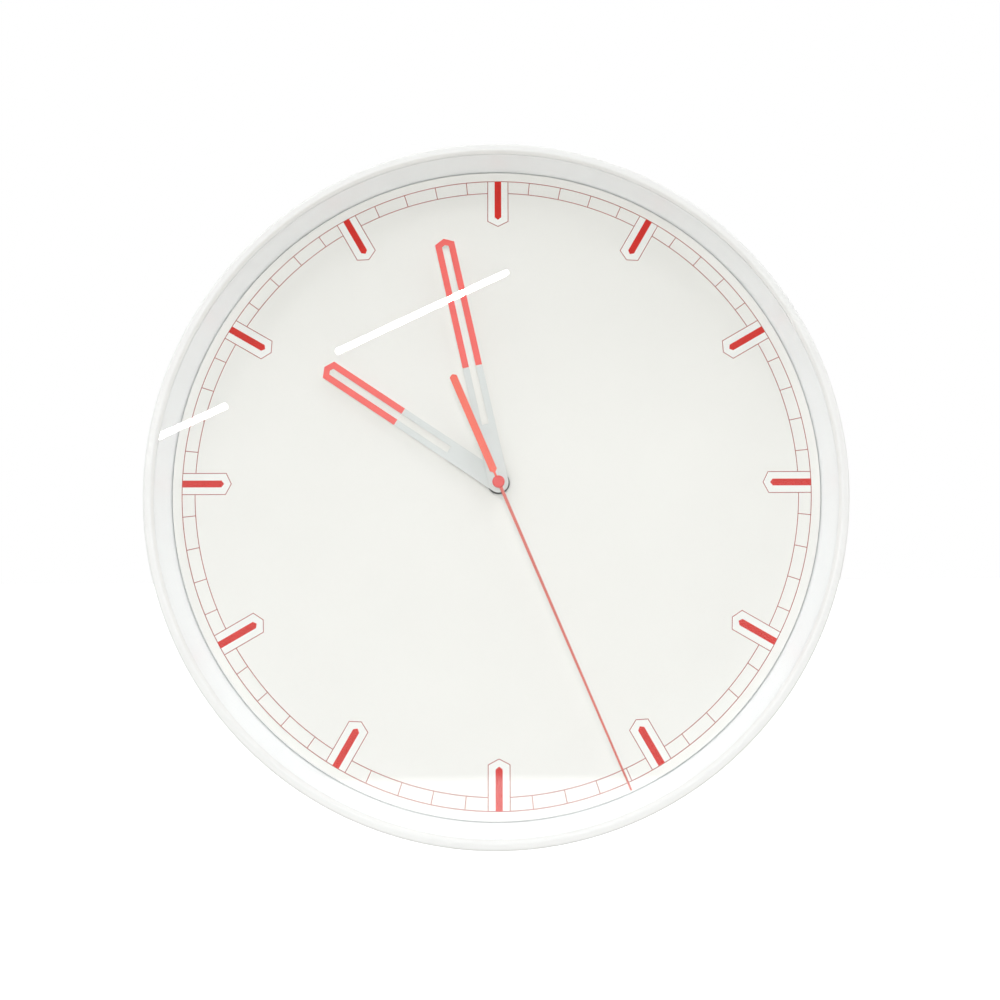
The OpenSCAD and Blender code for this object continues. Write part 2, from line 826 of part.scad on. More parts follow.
// Motion wheel and pinion, which turn the hour wheel once in twelve turns of the minute hand
module motion_wheel() {
    pin_phase = 0;
    color("ivory") stand() translate([motion_at[0], motion_at[1], 0]) {
        translate([0, 0, motion_z]) web_wheel(motion_n, motion_m, 1.8, 0.8 + play, 0, 5);
        translate([0, 0, motion_z + wheel_t - 0.01]) gear(motion_pin_n, hour_m, 2.9, 0.8 + play, pin_phase);
    }
}

// Setting stem with the pinion that turns the motion wheel
module set_stem() {
    phase = mesh_phase(set_dir, motion_n, set_n);
    color("ivory") stand() translate([set_at[0], set_at[1], 0]) {
        translate([0, 0, box_rear - 0.3]) cylinder(r = 1.2, h = motion_z - box_rear + 1.8);
        translate([0, 0, motion_z - 0.4]) gear(set_n, motion_m, 1.9, 0.3, phase);
    }
}

// Fluted setting knob behind the movement
module set_knob() {
    knob_r = 4.6;
    knob_h = 1.8;
    flutes = 18;
    color([0.2, 0.2, 0.22]) stand() translate([set_at[0], set_at[1], box_rear - 0.3 - knob_h])
        linear_extrude(knob_h) difference() {
            circle(knob_r);
            for (i = [0:flutes - 1])
                rotate([0, 0, 360 * i / flutes]) translate([knob_r + 0.25, 0]) circle(0.6);
        }
}

case();
glass();
glass_gasket();
spacer_ring();
dial_plate();
dial_foam();
carrier();
case_screws();
hanger_plate();
hanger_screws();
movement_front();
movement_rear();
stator();
coil_core();
coil_bobbin();
coil_winding();
circuit_board();
timing_chip();
crystal_can();
contact_plus();
contact_minus();
battery_sleeve();
battery_cap();
battery_base();
second_hand();
second_cap();
second_bush();
second_arbor();
second_wheel();
minute_hand();
minute_bush();
minute_arbor();
hour_hand();
hour_bush();
hour_wheel();
centre_wheel();
clutch_spring();
third_wheel();
third_arbor();
middle_wheel();
middle_arbor();
rotor_magnet();
rotor_pinion();
motion_wheel();
set_stem();
set_knob();
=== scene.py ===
import math

import bmesh
import bpy
from mathutils import Matrix, Vector
from mathutils.geometry import tessellate_polygon


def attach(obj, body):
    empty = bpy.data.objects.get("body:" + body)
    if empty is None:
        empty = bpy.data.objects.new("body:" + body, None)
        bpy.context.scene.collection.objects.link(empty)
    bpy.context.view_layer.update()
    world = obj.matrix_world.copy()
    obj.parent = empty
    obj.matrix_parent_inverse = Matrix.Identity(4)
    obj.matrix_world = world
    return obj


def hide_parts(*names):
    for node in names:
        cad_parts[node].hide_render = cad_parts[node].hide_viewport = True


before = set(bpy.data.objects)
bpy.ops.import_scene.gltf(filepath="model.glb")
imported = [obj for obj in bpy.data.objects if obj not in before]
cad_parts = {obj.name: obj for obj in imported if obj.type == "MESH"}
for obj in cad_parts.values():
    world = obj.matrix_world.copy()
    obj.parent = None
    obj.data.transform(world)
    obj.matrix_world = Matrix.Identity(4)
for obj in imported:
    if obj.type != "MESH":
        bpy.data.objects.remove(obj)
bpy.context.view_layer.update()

# Shapes are drawn in millimetres, lying on their backs with the wall as z = 0.
# STAND tips them up against the wall and turns them to metres.
MM = 0.001
STAND = Matrix.Rotation(math.radians(90), 4, "X") @ Matrix.Scale(MM, 4)
TAU = 2 * math.pi

# Heights above the wall
LIP_TOP, GLASS_TOP, GLASS_LOW, SEAL_LOW = 42, 40, 38, 37.6
DIAL_TOP, DIAL_LOW, TOE_TOP, TOE_LOW = 24, 23, 22.8, 21
HOUR_Z, MINUTE_Z, SECOND_Z = 26.7, 29.5, 32.2
CAP_LOW, CAP_TOP = 32.6, 34

# Radii
CASE_R, CASE_IN_R, LIP_R, LIP_CHAMFER = 150, 148.2, 145.7, 0.95
GLASS_R, SEAL_R, SEAL_IN_R = 147.9, 147.7, 146.4
DIAL_R, DIAL_HOLE_R = 142.85, 4.95
CAP_R = 2.67

# Angles of the hands, clockwise from twelve
HOUR_ANGLE, MINUTE_ANGLE, SECOND_ANGLE = 303.74, 347.4, 156.84

# Steps round a full turn of the shapes that are turned on the clock's axis
FINE_STEPS, RING_STEPS, SMALL_STEPS = 360, 288, 96

# Shading: edges sharper than this many degrees stay sharp
DRAWN_SHARP, CAD_SHARP = 32, 35


# ---------------------------------------------------------------- outlines

def circle(r, steps):
    return [(r * math.cos(TAU * i / steps), r * math.sin(TAU * i / steps)) for i in range(steps)]


def turned(points, degrees):
    """Points turned clockwise about the origin."""
    a = math.radians(degrees)
    return [(x * math.cos(a) + y * math.sin(a), -x * math.sin(a) + y * math.cos(a)) for x, y in points]


def fillet(points, radii, steps=5):
    """Closed outline with its corners rounded; radii is one number or one for each corner."""
    if not hasattr(radii, "__len__"):
        radii = [radii] * len(points)
    out = []
    for i, (p, r) in enumerate(zip(points, radii)):
        p = Vector(p)
        a = Vector(points[i - 1]) - p
        b = Vector(points[(i + 1) % len(points)]) - p
        angle = a.angle(b)
        if r <= 0 or angle > math.pi - 0.01:
            out.append(tuple(p))
            continue
        reach = min(r / math.tan(angle / 2), a.length * 0.499, b.length * 0.499)
        r = reach * math.tan(angle / 2)
        centre = p + (a.normalized() + b.normalized()).normalized() * (r / math.sin(angle / 2))
        start, end = p + a.normalized() * reach - centre, p + b.normalized() * reach - centre
        sweep = start.angle_signed(end)
        for k in range(steps + 1):
            t = -sweep * k / steps
            out.append((centre.x + start.x * math.cos(t) - start.y * math.sin(t),
                        centre.y + start.x * math.sin(t) + start.y * math.cos(t)))
    return out


def area(loop):
    return sum(a[0] * b[1] - b[0] * a[1] for a, b in zip(loop, loop[1:] + loop[:1])) / 2


def inset(loop, d):
    """Outline moved to its left by d, with mitred corners."""
    out = []
    for i, p in enumerate(loop):
        p, before, after = Vector(p), Vector(loop[i - 1]), Vector(loop[(i + 1) % len(loop)])
        n1 = (p - before).normalized().orthogonal()
        n2 = (after - p).normalized().orthogonal()
        mitre = (n1 + n2) / max(1 + n1.dot(n2), 0.2)
        out.append(tuple(p + mitre * d))
    return out


def pencil(low, high, width, point):
    """Bar along +Y with a square foot and a pencil point."""
    w = width / 2
    return [(-w, low), (w, low), (w, high - point), (0, high), (-w, high - point)]


def mark(width, shoulder, tip, top):
    """Open-topped bar along +Y with its point towards the hub."""
    w = width / 2
    return [(-w, top), (-w, shoulder), (0, tip), (w, shoulder), (w, top)]


def arc(r0, r1, start, end, steps):
    """Outline of a strip between two radii and two clock angles."""
    out = []
    for r, order in ((r1, range(steps + 1)), (r0, range(steps, -1, -1))):
        for k in order:
            a = math.radians(start + (end - start) * k / steps)
            out.append((r * math.sin(a), r * math.cos(a)))
    return out


# ---------------------------------------------------------------- solids

def lathe(points, steps):
    """Closed outline of (radius, height) points turned about the z axis."""
    bm = bmesh.new()
    rings = []
    for r, z in points:
        if r < 1e-6:
            rings.append([bm.verts.new((0, 0, z))] * steps)
        else:
            rings.append([bm.verts.new((x, y, z)) for x, y in circle(r, steps)])
    for a, b in zip(rings, rings[1:] + rings[:1]):
        for i in range(steps):
            j = (i + 1) % steps
            corners = list(dict.fromkeys((a[i], a[j], b[j], b[i])))
            if len(corners) > 2:
                bm.faces.new(corners)
    return bm


def slab(loops, low, high, edge=0.0, steps=2, bm=None):
    """Plate between two heights with rounded rims; the first loop is its outline, the others holes."""
    bm = bm or bmesh.new()
    loops = [loop if (area(loop) > 0) == (i == 0) else loop[::-1] for i, loop in enumerate(loops)]
    rim = [(0, 0)]
    if edge > 0:
        quarter = [math.pi / 2 * k / steps for k in range(steps + 1)]
        rim = [(edge * (1 - math.cos(t)), edge * (1 - math.sin(t))) for t in quarter]
    stack = [(d, low + h) for d, h in reversed(rim)] + [(d, high - h) for d, h in rim]
    caps = {0: [], len(stack) - 1: []}
    for loop in loops:
        rows = []
        for k, (d, z) in enumerate(stack):
            points = inset(loop, d) if d else loop
            rows.append([bm.verts.new((x, y, z)) for x, y in points])
            if k in caps:
                caps[k].append(rows[-1])
        for a, b in zip(rows, rows[1:]):
            for i in range(len(loop)):
                j = (i + 1) % len(loop)
                bm.faces.new((a[i], a[j], b[j], b[i]))
    for k, rims in caps.items():
        flat = [v for loop in rims for v in loop]
        if len(rims) == 1:
            bm.faces.new(flat[::-1] if k == 0 else flat)
            continue
        for tri in tessellate_polygon([[v.co for v in loop] for loop in rims]):
            try:
                bm.faces.new([flat[i] for i in tri])
            except ValueError:  # the tessellation can give one triangle twice
                pass
    return bm


def cut(bm, *tools):
    """bm with every tool taken away from it."""
    def temporary(shape):
        mesh = bpy.data.meshes.new("temporary")
        bmesh.ops.recalc_face_normals(shape, faces=shape.faces)
        shape.to_mesh(mesh)
        shape.free()
        obj = bpy.data.objects.new("temporary", mesh)
        bpy.context.scene.collection.objects.link(obj)
        return obj
    body = temporary(bm)
    others = [temporary(t) for t in tools]
    for other in others:
        m = body.modifiers.new("cut", "BOOLEAN")
        m.object, m.operation, m.solver = other, "DIFFERENCE", "EXACT"
    evaluated = body.evaluated_get(bpy.context.evaluated_depsgraph_get())
    out = bmesh.new()
    out.from_mesh(evaluated.to_mesh())
    evaluated.to_mesh_clear()
    for obj in [body, *others]:
        bpy.data.objects.remove(obj)
    return out


def cut_across(bm, y):
    """Adds edges where the plane at height y up the drawing crosses the faces."""
    bmesh.ops.recalc_face_normals(bm, faces=bm.faces)
    bmesh.ops.bisect_plane(bm, geom=bm.verts[:] + bm.edges[:] + bm.faces[:],
                           plane_co=(0, y, 0), plane_no=(0, 1, 0))


def soft_normals(obj):
    m = obj.modifiers.new("normals", "WEIGHTED_NORMAL")
    m.keep_sharp = True


def piece(name, bm, body, slot, *looks, replaces=(), flat=False):
    """Turns a drawn solid into a piece of the clock."""
    bmesh.ops.recalc_face_normals(bm, faces=bm.faces)
    bm.transform(STAND)
    mesh = bpy.data.meshes.new(name)
    bm.to_mesh(mesh)
    bm.free()
    for look_name in looks:
        mesh.materials.append(L[look_name])
    obj = bpy.data.objects.new(name, mesh)
    bpy.context.scene.collection.objects.link(obj)
    if not flat:
        mesh.shade_smooth()
        mesh.set_sharp_from_angle(angle=math.radians(DRAWN_SHARP))
        soft_normals(obj)
    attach(obj, body)
    if replaces:
        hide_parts(*replaces)


# ---------------------------------------------------------------- materials

L = {}
EDGE_REACH = 0.00045  # metres from an edge or crease that the edge tint reaches


def put(nt, socket, value):
    """Links a socket to another one, or sets it to a number."""
    if isinstance(value, bpy.types.NodeSocket):
        nt.links.new(value, socket)
    else:
        socket.default_value = value


def add(nt, kind, *values, **named):
    """New node with its inputs set, by their order or by their names."""
    node = nt.nodes.new(kind)
    for socket, value in zip(node.inputs, values):
        put(nt, socket, value)
    for name, value in named.items():
        put(nt, node.inputs[name.replace("_", " ")], value)
    return node


def maths(nt, operation, *values):
    node = add(nt, "ShaderNodeMath", *values)
    node.operation = operation
    return node.outputs[0]


def noise(nt, where, scale, detail):
    return add(nt, "ShaderNodeTexNoise", Vector=where, Scale=scale, Detail=detail).outputs["Fac"]


def spread(nt, value, low, high, start=0.3, end=0.7):
    """value between start and end, spread from low to high."""
    return add(nt, "ShaderNodeMapRange", Value=value, From_Min=start, From_Max=end,
               To_Min=low, To_Max=high).outputs[0]


def two_colours(nt, factor, a, b):
    node = nt.nodes.new("ShaderNodeMix")
    node.data_type = "RGBA"
    put(nt, node.inputs["Factor"], factor)
    for name, colour in (("A", a), ("B", b)):
        put(nt, node.inputs[name], colour if isinstance(colour, bpy.types.NodeSocket) else (*colour, 1))
    return node.outputs["Result"]


def shade(colour, k):
    return tuple(min(c * k, 1) for c in colour)


def new_material(name):
    m = bpy.data.materials.new(name)
    m.use_nodes = True
    L[name] = m
    return m.node_tree, m.node_tree.nodes["Principled BSDF"]


def edge_wear_and_shade_mask(nt, where):
    """Mask that is 1 on an edge or in a crease and 0 away from it, broken up by noise; darkening with it puts
    wear on rims and painted shade in creases.
    """
    rounded = add(nt, "ShaderNodeBevel", Radius=EDGE_REACH)
    rounded.samples = 3
    turn = nt.nodes.new("ShaderNodeVectorMath")
    turn.operation = "DOT_PRODUCT"
    nt.links.new(rounded.outputs[0], turn.inputs[0])
    nt.links.new(nt.nodes.new("ShaderNodeNewGeometry").outputs["Normal"], turn.inputs[1])
    edge = spread(nt, turn.outputs["Value"], 1, 0, 0.82, 0.985)
    patches = spread(nt, noise(nt, where, 420, 4), 0.15, 1, 0.38, 0.6)
    return maths(nt, "MULTIPLY", edge, patches)


def look(name, colour, rough, mottle, grain, wave=0.0, stretch=(1, 1, 1), metal=0.0, coat=0.0,
         sheen=0.0, specular=0.5, edge_wear_and_shade=0.93, extra=None):
    """Material with mottled colour, uneven gloss, fine grain, a slow wave and tinted edges and creases.

    rough is the roughness and how much it varies, mottle the strength and scale of the mottling, and
    grain the strength, scale and depth in metres of the grain. The wear and shade factor is how much the
    colour is multiplied by on an edge or in a crease, and 1 leaves them alone; below 1 it is wear on rims
    and painted shade in creases and corners. extra changes the tint before the edge tint.
    """
    nt, shader = new_material(name)
    for socket, value in (("Metallic", metal), ("Coat Weight", coat), ("Coat Roughness", 0.12),
                          ("Sheen Weight", sheen), ("Specular IOR Level", specular)):
        shader.inputs[socket].default_value = value
    where = nt.nodes.new("ShaderNodeTexCoord").outputs["Object"]
    drawn = add(nt, "ShaderNodeMapping", Vector=where, Scale=stretch).outputs[0]
    depth_of_tint, mottle_scale = mottle
    broad = spread(nt, noise(nt, drawn, mottle_scale, 4), 0, 1)
    tint = two_colours(nt, broad, shade(colour, 1 - depth_of_tint), shade(colour, 1 + depth_of_tint))
    if extra:
        tint = extra(nt, where, tint)
    roughness, vary = rough
    gloss = spread(nt, noise(nt, drawn, mottle_scale * 9, 3), roughness - vary, roughness + vary)
    # Edges and creases take the edge tint: below 1 it is wear on rims and painted shade in creases and
    # corners
    if edge_wear_and_shade != 1:
        edge = edge_wear_and_shade_mask(nt, where)
        tint = two_colours(nt, edge, tint, shade(colour, edge_wear_and_shade))
        gloss = maths(nt, "MULTIPLY_ADD", edge, 0.12, gloss)
    nt.links.new(tint, shader.inputs["Base Color"])
    nt.links.new(gloss, shader.inputs["Roughness"])
    strength, grain_scale, depth = grain
    bump = add(nt, "ShaderNodeBump", Strength=strength, Distance=depth,
               Height=noise(nt, drawn, grain_scale, 2))
    if wave:
        slow = add(nt, "ShaderNodeBump", Strength=wave, Distance=2e-5, Height=noise(nt, drawn, 60, 2))
        nt.links.new(slow.outputs[0], bump.inputs["Normal"])
    nt.links.new(bump.outputs[0], shader.inputs["Normal"])


def glass_look(name):
    """Clear glass that lets the lamps' light and light from the dial straight through."""
    nt, shader = new_material(name)
    for socket, value in (("Base Color", (0.985, 0.997, 0.992, 1)), ("Transmission Weight", 1),
                          ("Roughness", 0), ("IOR", 1.5)):
        shader.inputs[socket].default_value = value
    where = nt.nodes.new("ShaderNodeTexCoord").outputs["Object"]
    ripple = add(nt, "ShaderNodeBump", Strength=0.03, Distance=1e-5, Height=noise(nt, where, 9, 1))
    nt.links.new(ripple.outputs[0], shader.inputs["Normal"])
    path = nt.nodes.new("ShaderNodeLightPath")
    lamps = maths(nt, "MAXIMUM", path.outputs["Is Shadow Ray"], path.outputs["Is Diffuse Ray"])
    clear = nt.nodes.new("ShaderNodeBsdfTransparent")
    mix = add(nt, "ShaderNodeMixShader", lamps, shader.outputs[0], clear.outputs[0])
    nt.links.new(mix.outputs[0], nt.nodes["Material Output"].inputs[0])


def wrap_bands(nt, where, tint):
    """Battery wrap: the dark sleeve turns to a warm band near the cap."""
    along = add(nt, "ShaderNodeSeparateXYZ", where).outputs["X"]
    step = spread(nt, along, 0, 1, 0.0125, 0.0127)
    return two_colours(nt, step, tint, (0.55, 0.24, 0.05))


# Mouldings of the case
look("case_white", (0.84, 0.845, 0.835), (0.34, 0.05), (0.012, 25), (0.25, 1800, 3e-6), 0.25, coat=0.15)
look("ring_white", (0.958, 0.972, 0.985), (0.34, 0.05), (0.012, 25), (0.3, 2200, 3e-6))
# Grey for the toe's top in the gap round the dial: painted shade
look("groove_painted_shade", (0.54, 0.57, 0.59), (0.6, 0.05), (0.03, 200), (0.3, 2200, 3e-6), edge_wear_and_shade=1)
look("gasket_white", (0.84, 0.85, 0.85), (0.6, 0.05), (0.02, 200), (0.4, 1800, 1e-5))
look("back_plastic", (0.80, 0.805, 0.795), (0.48, 0.06), (0.02, 22), (0.5, 1500, 6e-6), 0.4)
glass_look("clear_glass")

# Dial and its ink
look("dial_white", (0.867, 0.858, 0.827), (0.55, 0.05), (0.01, 18), (0.35, 3500, 3e-6), edge_wear_and_shade=1)
look("ink_white", (0.892, 0.896, 0.872), (0.5, 0.05), (0.008, 40), (0.3, 3500, 3e-6), edge_wear_and_shade=1)
look("ink_red", (0.66, 0.016, 0.008), (0.5, 0.06), (0.05, 400), (0.4, 3500, 4e-6), specular=0.2, edge_wear_and_shade=1)
look("ink_line", (0.40, 0.075, 0.055), (0.45, 0.06), (0.08, 500), (0.3, 3500, 4e-6), edge_wear_and_shade=1)

# Hands
HAND_GRAIN = (0.3, 3000, 3e-6)
look("hand_coral", (0.905, 0.122, 0.106), (0.4, 0.05), (0.03, 120), HAND_GRAIN, specular=0.4)
look("hand_grey", (0.665, 0.69, 0.68), (0.36, 0.05), (0.015, 120), HAND_GRAIN)
look("hand_back", (0.93, 0.93, 0.925), (0.4, 0.05), (0.015, 120), HAND_GRAIN)
look("second_coral", (0.91, 0.14, 0.09), (0.4, 0.05), (0.03, 150), HAND_GRAIN, specular=0.4)
# The needle is the tail's coral drawn darker: painted shade
look("second_needle_shade", (0.70, 0.15, 0.12), (0.4, 0.05), (0.04, 150), HAND_GRAIN, specular=0.4)
look("cap_red", (0.77, 0.06, 0.055), (0.28, 0.04), (0.03, 300), (0.2, 3000, 3e-6), coat=0.3)

# Movement, battery and fixings; worn metal is brighter, and scuffed black plastic paler
METAL = {"metal": 1, "edge_wear_and_shade": 1.22}
look("black_plastic", (0.022, 0.022, 0.024), (0.46, 0.07), (0.15, 60), (0.7, 2200, 8e-6), edge_wear_and_shade=2.2)
look("gear_plastic", (0.80, 0.79, 0.74), (0.35, 0.06), (0.03, 200), (0.3, 3000, 3e-6), specular=0.6)
look("grey_foam", (0.42, 0.43, 0.43), (0.9, 0.05), (0.12, 900), (0.9, 1400, 6e-5), sheen=0.2, edge_wear_and_shade=1)
look("zinc_steel", (0.62, 0.63, 0.64), (0.3, 0.08), (0.06, 90), (0.4, 900, 3e-6), stretch=(1, 1, 9), **METAL)
look("soft_iron", (0.45, 0.46, 0.47), (0.42, 0.1), (0.08, 200), (0.4, 1500, 4e-6), **METAL)
look("copper_wire", (0.72, 0.30, 0.14), (0.3, 0.06), (0.06, 300), (0.9, 900, 4e-5), stretch=(1, 1, 14),
     **METAL)
look("green_board", (0.02, 0.13, 0.05), (0.35, 0.05), (0.1, 150), (0.3, 2500, 4e-6), coat=0.4, edge_wear_and_shade=1.3)
look("black_resin", (0.012, 0.012, 0.013), (0.22, 0.06), (0.2, 400), (0.4, 900, 8e-6), 0.5, edge_wear_and_shade=1.8)
look("contact_brass", (0.80, 0.72, 0.55), (0.28, 0.07), (0.06, 200), (0.4, 1800, 4e-6), **METAL)
look("magnet_grey", (0.10, 0.10, 0.11), (0.5, 0.08), (0.15, 500), (0.6, 2500, 8e-6), metal=0.6, edge_wear_and_shade=1.5)
look("nickel", (0.70, 0.70, 0.69), (0.24, 0.07), (0.05, 150), (0.4, 1800, 3e-6), **METAL)
look("battery_wrap", (0.03, 0.032, 0.036), (0.25, 0.05), (0.1, 80), (0.2, 1500, 5e-6), 0.6, coat=0.5,
     edge_wear_and_shade=1, extra=wrap_bands)
look("floor_pale", (0.9, 0.9, 0.9), (0.7, 0.03), (0.005, 2), (0, 2500, 4e-6), edge_wear_and_shade=1)


# ---------------------------------------------------------------- case, glass and wall

case_profile = fillet(
    [(CASE_IN_R, 0), (CASE_R, 0), (CASE_R, LIP_TOP), (LIP_R + LIP_CHAMFER, LIP_TOP), (LIP_R, GLASS_TOP),
     (CASE_IN_R, GLASS_TOP)],
    [0.3, 0.6, 1.2, 1.2, 0.12, 0], 7)

SCREW_ANGLES, SCREW_Z = (45, 135, 225, 315), 13
HEAD_R, SHANK_R, HEAD_DEPTH = 2.5, 1.35, 1.2
BORE_TOP, HEAD_RIM, BORE_LOW = 2, -0.05, -4  # measured outwards from the case's side
bores = []
for angle in SCREW_ANGLES:
    bore = lathe([(0, BORE_TOP), (HEAD_R, BORE_TOP), (HEAD_R, HEAD_RIM), (SHANK_R, -HEAD_DEPTH),
                  (SHANK_R, BORE_LOW), (0, BORE_LOW)], 48)
    bore.transform(Matrix.Rotation(math.radians(angle), 4, "Z") @ Matrix.Translation((CASE_R, 0, SCREW_Z))
                   @ Matrix.Rotation(math.radians(90), 4, "Y"))
    bores.append(bore)
case_bm = cut(lathe(case_profile, FINE_STEPS), *bores)
piece("case_shell", case_bm, "clock_case", "case_white", "case_white", replaces=["case"])

pane = fillet([(0, GLASS_LOW), (GLASS_R, GLASS_LOW), (GLASS_R, GLASS_TOP), (0, GLASS_TOP)],
              [0, 0.3, 0.3, 0], 3)
piece("glass_pane", lathe(pane, RING_STEPS), "clock_case", "clear_glass", "clear_glass",
      replaces=["glass"], flat=True)

# The sloping wall: a toe under the dial's rim, the slope, a rim under the glass, and the slope's
# back with a flange at its foot
WALL_R, WALL_TOP_R, WALL_FOOT_R, TOE_R = 147.9, 146.25, 143.22, 141.9
RIM_LOW, RIM_BACK_R, FLANGE_TOP, FLANGE_BACK_R = 35.8, 146.85, 22.6, 144.75
wall = fillet(
    [(TOE_R, TOE_LOW), (TOE_R, TOE_TOP), (WALL_FOOT_R, TOE_TOP), (WALL_TOP_R, SEAL_LOW),
     (WALL_R, SEAL_LOW), (WALL_R, RIM_LOW), (RIM_BACK_R, RIM_LOW), (FLANGE_BACK_R, FLANGE_TOP),
     (WALL_R, FLANGE_TOP), (WALL_R, TOE_LOW)],
    [0.1, 0.1, 0.15, 0.1, 0.2, 0.2, 0.3, 0.3, 0.2, 0.2], 5)
wall_bm = lathe(wall, FINE_STEPS)
RIBS, RIB_HALF_W, RIB_IN_R, RIB_OUT_R, RIB_LOW, RIB_TOP = 24, 0.6, 146.2, 147.7, 22.4, 36
for i in range(RIBS):
    rib = [(RIB_IN_R, -RIB_HALF_W), (RIB_OUT_R, -RIB_HALF_W), (RIB_OUT_R, RIB_HALF_W), (RIB_IN_R, RIB_HALF_W)]
    slab([turned(rib, -(i + 0.5) * 360 / RIBS)], RIB_LOW, RIB_TOP, bm=wall_bm)

# The toe's top is painted grey: painted shade that makes the thin shadow line round the dial
GROOVE_R, GROOVE_TOP = 143.3, 23.1
for face in wall_bm.faces:
    centre = face.calc_center_median()
    face.material_index = int(math.hypot(centre.x, centre.y) < GROOVE_R and centre.z < GROOVE_TOP)
piece("inner_wall", wall_bm, "clock_case", "ring_white", "ring_white", "groove_painted_shade",
      replaces=["spacer_ring"])

seal = fillet([(SEAL_IN_R, SEAL_LOW), (SEAL_R, SEAL_LOW), (SEAL_R, GLASS_LOW), (SEAL_IN_R, GLASS_LOW)],
              0.12, 3)
piece("glass_seal", lathe(seal, RING_STEPS), "clock_case", "ring_white", "gasket_white",
      replaces=["glass_gasket"])


# ---------------------------------------------------------------- dial and its printing

dial = fillet([(DIAL_HOLE_R, DIAL_LOW), (DIAL_R, DIAL_LOW), (DIAL_R, DIAL_TOP), (DIAL_HOLE_R, DIAL_TOP)],
              [0.05, 0.12, 0.22, 0.08], 4)
piece("dial_face", lathe(dial, FINE_STEPS), "clock_case", "dial_white", "dial_white", replaces=["dial_plate"])

TRACK_R, TRACK_IN_R = 138.68, 133.04
MARK_W, MARK_TIP, MARK_SHOULDER = 9.29, 117.3, 119.7
BAR_W, BAR_TIP, BAR_SHOULDER = 3.02, 120.45, 121.65
HAIRLINE = 0.35
half = HAIRLINE / 2

# Each kind of ink has its own height above the dial and its own soft edge, so no two share a plane
INK_LOW = DIAL_TOP - 0.03
INK = {"track": (0.034, 0.008), "outline": (0.03, 0.008), "fill": (0.016, 0.004), "bar": (0.04, 0.01),
       "inner_track": (0.022, 0.006), "tick": (0.026, 0.006)}


def print_ink(bm, kind, *loops):
    height, edge = INK[kind]
    slab(loops, INK_LOW, DIAL_TOP + height, edge, 1, bm)


lines, reds, fills = bmesh.new(), bmesh.new(), bmesh.new()
print_ink(lines, "track", circle(TRACK_R + half, 720), circle(TRACK_R - half, 720))
for hour in range(12):
    angle = 30 * hour
    # The mitres at the shoulders and at the tip keep the slanting lines as wide as the straight ones
    outer = mark(MARK_W + HAIRLINE, MARK_SHOULDER - half * 0.6, MARK_TIP - half, TRACK_R)
    inner = mark(MARK_W - HAIRLINE, MARK_SHOULDER + half * 0.6, MARK_TIP + half * 1.3, TRACK_R)
    print_ink(lines, "outline", turned(outer + inner[::-1], angle))
    # The fill reaches a little under the lines
    fill = mark(MARK_W - HAIRLINE + 0.02, MARK_SHOULDER + half * 0.55, MARK_TIP + half * 1.2, TRACK_R)
    print_ink(fills, "fill", turned(fill, angle))
    bar = fillet(mark(BAR_W, BAR_SHOULDER, BAR_TIP, TRACK_R), [0, 0.12, 0.15, 0.12, 0], 3)
    print_ink(reds, "bar", turned(bar, angle))
    gap = math.degrees(math.asin((MARK_W / 2) / TRACK_IN_R))
    strip = arc(TRACK_IN_R - half, TRACK_IN_R + half, angle + gap, angle + 30 - gap, 48)
    print_ink(lines, "inner_track", strip)
    for minute in range(1, 5):
        tick = [(-half, TRACK_IN_R), (half, TRACK_IN_R), (half, TRACK_R), (-half, TRACK_R)]
        print_ink(lines, "tick", turned(tick, angle + 6 * minute))
piece("dial_mark_fills", fills, "clock_case", "dial_white", "ink_white")
piece("dial_lines", lines, "clock_case", "cap_red", "ink_line")
piece("dial_hour_bars", reds, "clock_case", "cap_red", "ink_red")


# ---------------------------------------------------------------- hands

HAND_W, HAND_T, HAND_EDGE = 8.8, 0.5, 0.09
HOUR_LENGTH, MINUTE_LENGTH, HOUR_BORE_R, MINUTE_BORE_R = 92.8, 112.3, 3.15, 1.4
SIDE_START, SLOT_START, PAINT_START = 40, 26.1, 52.5
SLOT_W, SLOT_WALL, POINT = HAND_W * 0.35, HAND_W / 3, 0.25  # POINT is a share of the width


def slotted_hand(name, length, z, angle, bore, body, node):
    """Hour or minute hand: grey at its root, coral beyond, and pale metal underneath."""
    w = HAND_W / 2
    shoulder = length - HAND_W * POINT
    root = [(w * math.cos(math.radians(a)), w * math.sin(math.radians(a))) for a in range(180, 361, 5)]
    outline = root + fillet([(w, SIDE_START), (w, shoulder), (0, length), (-w, shoulder), (-w, SIDE_START)],
                            [0, 0.25, 0.3, 0.25, 0], 3)
    window = fillet(pencil(SLOT_START, length - SLOT_WALL, SLOT_W, SLOT_W * POINT),
                    [0.15, 0.15, 0.5, 0.5, 0.5], 4)
    bm = slab([outline, window, circle(bore, 48)], z, z + HAND_T, HAND_EDGE, 3)
    cut_across(bm, PAINT_START)
    for face in bm.faces:
        painted = int(face.calc_center_median().y > PAINT_START)
        face.material_index = 2 if face.normal.z < -0.5 else painted
    bm.transform(Matrix.Rotation(-math.radians(angle), 4, "Z"))
    piece(name, bm, body, "hand_paint", "hand_grey", "hand_coral", "hand_back", replaces=[node])


slotted_hand("hour_hand_plate", HOUR_LENGTH, HOUR_Z, HOUR_ANGLE, HOUR_BORE_R, "hour_train", "hour_hand")
slotted_hand("minute_hand_plate", MINUTE_LENGTH, MINUTE_Z, MINUTE_ANGLE, MINUTE_BORE_R,
             "minute_train", "minute_hand")

